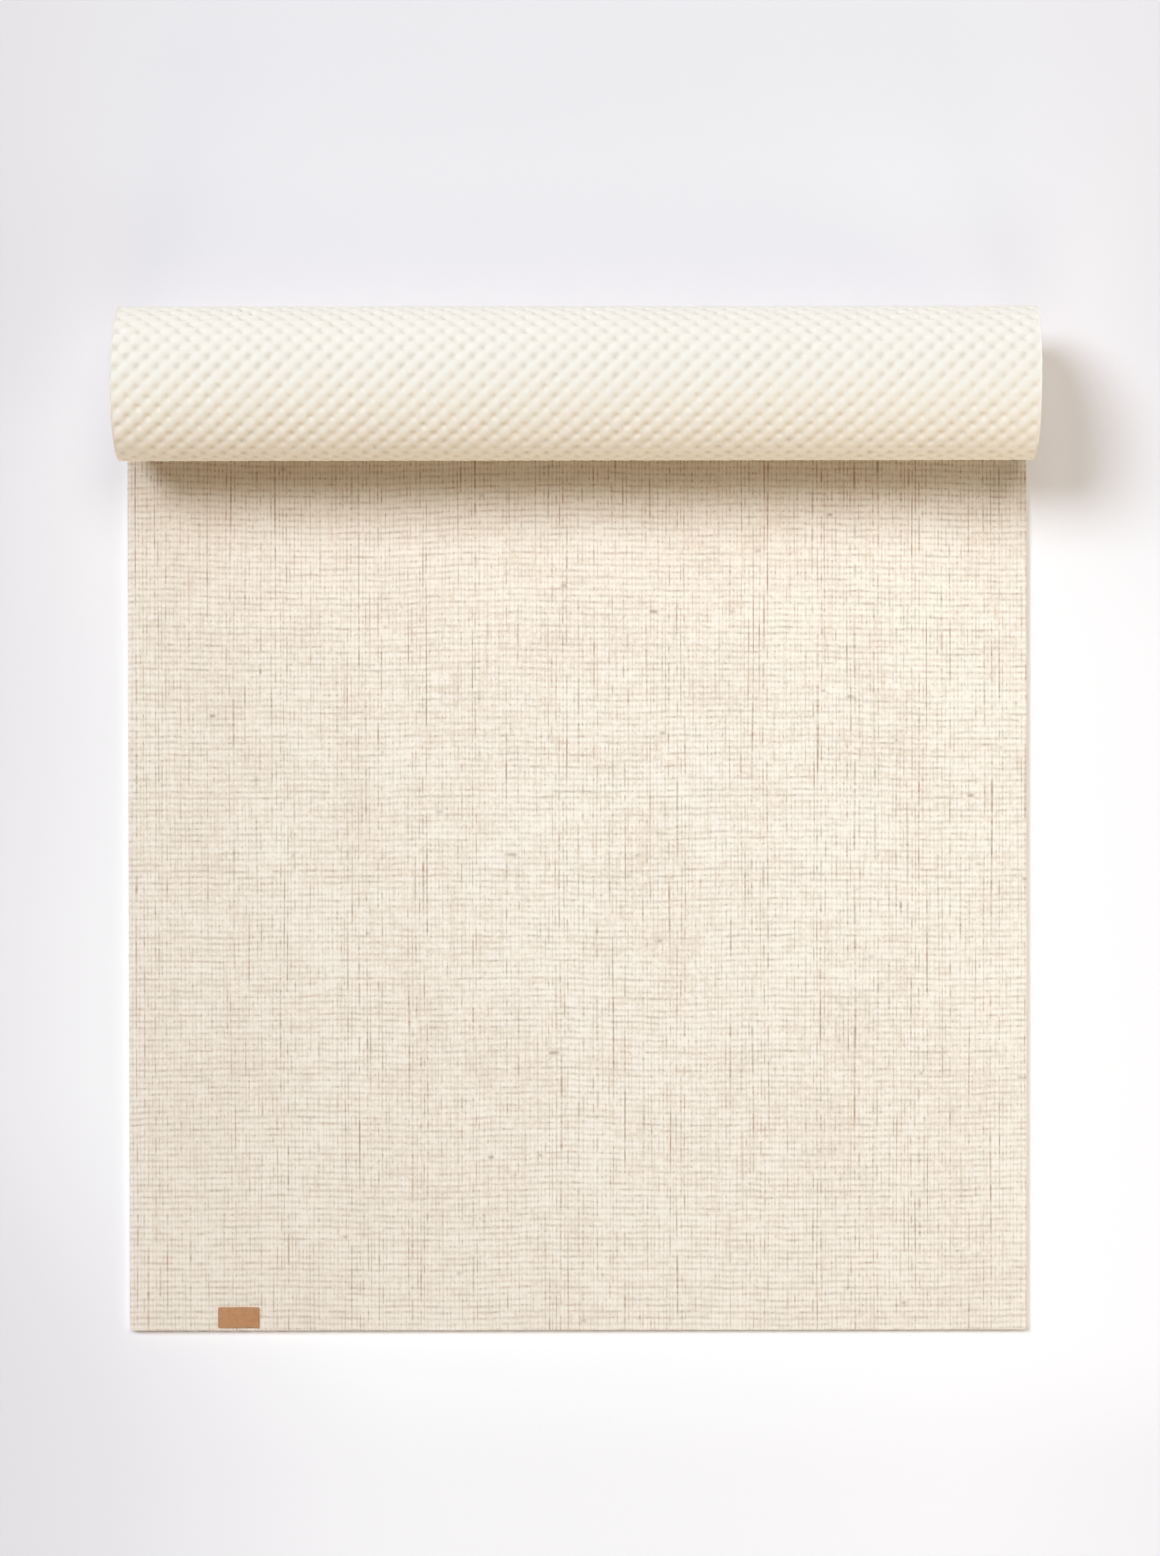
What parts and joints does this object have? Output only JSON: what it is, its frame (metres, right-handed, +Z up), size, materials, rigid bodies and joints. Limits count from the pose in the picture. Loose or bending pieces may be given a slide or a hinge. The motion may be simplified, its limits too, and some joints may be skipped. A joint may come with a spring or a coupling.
{
  "type": "yoga mat",
  "caption": "Woven jute exercise mat on a dimpled foam base, lying flat at the near end and rolled up at the far end, with a small bare leather label.",
  "frame": {"origin": "middle of the mat's footprint as it lies, on the floor", "axes": "+X along the roll, +Y from the label end towards the roll, +Z up"},
  "size_m": [0.61, 0.6908, 0.1058],
  "materials": {
    "cream_foam": "matt closed-cell foam with a dimpled grip side",
    "woven_jute": "plain weave of natural jute and cotton yarn",
    "tan_leather": "smooth vegetable-tanned leather, bare"
  },
  "bodies": {
    "near_end": {"near_end_foam": "cream_foam", "near_end_cover": "woven_jute", "leather_label": "tan_leather"},
    "flat_strip_01": {"flat_strip_01_foam": "cream_foam", "flat_strip_01_cover": "woven_jute"},
    "flat_strip_02": {"flat_strip_02_foam": "cream_foam", "flat_strip_02_cover": "woven_jute"},
    "flat_strip_03": {"flat_strip_03_foam": "cream_foam", "flat_strip_03_cover": "woven_jute"},
    "flat_strip_04": {"flat_strip_04_foam": "cream_foam", "flat_strip_04_cover": "woven_jute"},
    "flat_strip_05": {"flat_strip_05_foam": "cream_foam", "flat_strip_05_cover": "woven_jute"},
    "flat_strip_06": {"flat_strip_06_foam": "cream_foam", "flat_strip_06_cover": "woven_jute"},
    "flat_strip_07": {"flat_strip_07_foam": "cream_foam", "flat_strip_07_cover": "woven_jute"},
    "flat_strip_08": {"flat_strip_08_foam": "cream_foam", "flat_strip_08_cover": "woven_jute"},
    "flat_strip_09": {"flat_strip_09_foam": "cream_foam", "flat_strip_09_cover": "woven_jute"},
    "flat_strip_10": {"flat_strip_10_foam": "cream_foam", "flat_strip_10_cover": "woven_jute"},
    "flat_strip_11": {"flat_strip_11_foam": "cream_foam", "flat_strip_11_cover": "woven_jute"},
    "flat_strip_12": {"flat_strip_12_foam": "cream_foam", "flat_strip_12_cover": "woven_jute"},
    "flat_strip_13": {"flat_strip_13_foam": "cream_foam", "flat_strip_13_cover": "woven_jute"},
    "flat_strip_14": {"flat_strip_14_foam": "cream_foam", "flat_strip_14_cover": "woven_jute"},
    "flat_strip_15": {"flat_strip_15_foam": "cream_foam", "flat_strip_15_cover": "woven_jute"},
    "flat_strip_16": {"flat_strip_16_foam": "cream_foam", "flat_strip_16_cover": "woven_jute"},
    "flat_strip_17": {"flat_strip_17_foam": "cream_foam", "flat_strip_17_cover": "woven_jute"},
    "flat_strip_18": {"flat_strip_18_foam": "cream_foam", "flat_strip_18_cover": "woven_jute"},
    "lap_strip_01": {"lap_strip_01_foam": "cream_foam", "lap_strip_01_cover": "woven_jute"},
    "lap_strip_02": {"lap_strip_02_foam": "cream_foam", "lap_strip_02_cover": "woven_jute"},
    "lap_strip_03": {"lap_strip_03_foam": "cream_foam", "lap_strip_03_cover": "woven_jute"},
    "lap_strip_04": {"lap_strip_04_foam": "cream_foam", "lap_strip_04_cover": "woven_jute"},
    "lap_strip_05": {"lap_strip_05_foam": "cream_foam", "lap_strip_05_cover": "woven_jute"},
    "lap_strip_06": {"lap_strip_06_foam": "cream_foam", "lap_strip_06_cover": "woven_jute"},
    "lap_strip_07": {"lap_strip_07_foam": "cream_foam", "lap_strip_07_cover": "woven_jute"},
    "lap_strip_08": {"lap_strip_08_foam": "cream_foam", "lap_strip_08_cover": "woven_jute"},
    "lap_strip_09": {"lap_strip_09_foam": "cream_foam", "lap_strip_09_cover": "woven_jute"},
    "roll": {"roll_foam": "cream_foam", "roll_cover": "woven_jute"}
  },
  "joints": [
    {"name": "flat_fold_01", "type": "hinge", "parent": "near_end", "child": "flat_strip_01", "pos_m": [0, -0.29542, 0.005], "axis": [1, 0, 0], "range_deg": [0, 30.2]},
    {"name": "flat_fold_02", "type": "hinge", "parent": "flat_strip_01", "child": "flat_strip_02", "pos_m": [0, -0.26187, 0.005], "axis": [1, 0, 0], "range_deg": [0, 30.6]},
    {"name": "flat_fold_03", "type": "hinge", "parent": "flat_strip_02", "child": "flat_strip_03", "pos_m": [0, -0.22833, 0.005], "axis": [1, 0, 0], "range_deg": [0, 30.9]},
    {"name": "flat_fold_04", "type": "hinge", "parent": "flat_strip_03", "child": "flat_strip_04", "pos_m": [0, -0.19479, 0.005], "axis": [1, 0, 0], "range_deg": [0, 31.2]},
    {"name": "flat_fold_05", "type": "hinge", "parent": "flat_strip_04", "child": "flat_strip_05", "pos_m": [0, -0.16124, 0.005], "axis": [1, 0, 0], "range_deg": [0, 31.6]},
    {"name": "flat_fold_06", "type": "hinge", "parent": "flat_strip_05", "child": "flat_strip_06", "pos_m": [0, -0.1277, 0.005], "axis": [1, 0, 0], "range_deg": [0, 32]},
    {"name": "flat_fold_07", "type": "hinge", "parent": "flat_strip_06", "child": "flat_strip_07", "pos_m": [0, -0.09416, 0.005], "axis": [1, 0, 0], "range_deg": [0, 32.3]},
    {"name": "flat_fold_08", "type": "hinge", "parent": "flat_strip_07", "child": "flat_strip_08", "pos_m": [0, -0.06062, 0.005], "axis": [1, 0, 0], "range_deg": [0, 32.7]},
    {"name": "flat_fold_09", "type": "hinge", "parent": "flat_strip_08", "child": "flat_strip_09", "pos_m": [0, -0.02707, 0.005], "axis": [1, 0, 0], "range_deg": [0, 33.1]},
    {"name": "flat_fold_10", "type": "hinge", "parent": "flat_strip_09", "child": "flat_strip_10", "pos_m": [0, 0.00647, 0.005], "axis": [1, 0, 0], "range_deg": [0, 33.6]},
    {"name": "flat_fold_11", "type": "hinge", "parent": "flat_strip_10", "child": "flat_strip_11", "pos_m": [0, 0.04001, 0.005], "axis": [1, 0, 0], "range_deg": [0, 34]},
    {"name": "flat_fold_12", "type": "hinge", "parent": "flat_strip_11", "child": "flat_strip_12", "pos_m": [0, 0.07355, 0.005], "axis": [1, 0, 0], "range_deg": [0, 34.4]},
    {"name": "flat_fold_13", "type": "hinge", "parent": "flat_strip_12", "child": "flat_strip_13", "pos_m": [0, 0.1071, 0.005], "axis": [1, 0, 0], "range_deg": [0, 34.9]},
    {"name": "flat_fold_14", "type": "hinge", "parent": "flat_strip_13", "child": "flat_strip_14", "pos_m": [0, 0.14064, 0.005], "axis": [1, 0, 0], "range_deg": [0, 35.4]},
    {"name": "flat_fold_15", "type": "hinge", "parent": "flat_strip_14", "child": "flat_strip_15", "pos_m": [0, 0.17418, 0.005], "axis": [1, 0, 0], "range_deg": [0, 35.9]},
    {"name": "flat_fold_16", "type": "hinge", "parent": "flat_strip_15", "child": "flat_strip_16", "pos_m": [0, 0.20773, 0.005], "axis": [1, 0, 0], "range_deg": [0, 36.5]},
    {"name": "flat_fold_17", "type": "hinge", "parent": "flat_strip_16", "child": "flat_strip_17", "pos_m": [0, 0.24127, 0.005], "axis": [1, 0, 0], "range_deg": [0, 37]},
    {"name": "flat_fold_18", "type": "hinge", "parent": "flat_strip_17", "child": "flat_strip_18", "pos_m": [0, 0.27481, 0.005], "axis": [1, 0, 0], "range_deg": [0, 37.6]},
    {"name": "lap_fold_01", "type": "hinge", "parent": "flat_strip_18", "child": "lap_strip_01", "pos_m": [0, 0.29158, 0], "axis": [1, 0, 0], "range_deg": [-10, 0]},
    {"name": "lap_fold_02", "type": "hinge", "parent": "lap_strip_01", "child": "lap_strip_02", "pos_m": [0, 0.31012, 0.00327], "axis": [1, 0, 0], "range_deg": [-20, 0]},
    {"name": "lap_fold_03", "type": "hinge", "parent": "lap_strip_02", "child": "lap_strip_03", "pos_m": [0, 0.32632, 0.01262], "axis": [1, 0, 0], "range_deg": [-20, 0]},
    {"name": "lap_fold_04", "type": "hinge", "parent": "lap_strip_03", "child": "lap_strip_04", "pos_m": [0, 0.33828, 0.02686], "axis": [1, 0, 0], "range_deg": [-20, 0]},
    {"name": "lap_fold_05", "type": "hinge", "parent": "lap_strip_04", "child": "lap_strip_05", "pos_m": [0, 0.34461, 0.04424], "axis": [1, 0, 0], "range_deg": [-20, 0]},
    {"name": "lap_fold_06", "type": "hinge", "parent": "lap_strip_05", "child": "lap_strip_06", "pos_m": [0, 0.34461, 0.06262], "axis": [1, 0, 0], "range_deg": [-20, 0]},
    {"name": "lap_fold_07", "type": "hinge", "parent": "lap_strip_06", "child": "lap_strip_07", "pos_m": [0, 0.33837, 0.07979], "axis": [1, 0, 0], "range_deg": [-20, 0]},
    {"name": "lap_fold_08", "type": "hinge", "parent": "lap_strip_07", "child": "lap_strip_08", "pos_m": [0, 0.3267, 0.0937], "axis": [1, 0, 0], "range_deg": [-20, 0]},
    {"name": "lap_fold_09", "type": "hinge", "parent": "lap_strip_08", "child": "lap_strip_09", "pos_m": [0, 0.31107, 0.10273], "axis": [1, 0, 0], "range_deg": [-20, 0]},
    {"name": "roll_fold", "type": "hinge", "parent": "lap_strip_09", "child": "roll", "pos_m": [0, 0.2934, 0.10585], "axis": [1, 0, 0], "range_deg": [-10, 0]}
  ]
}
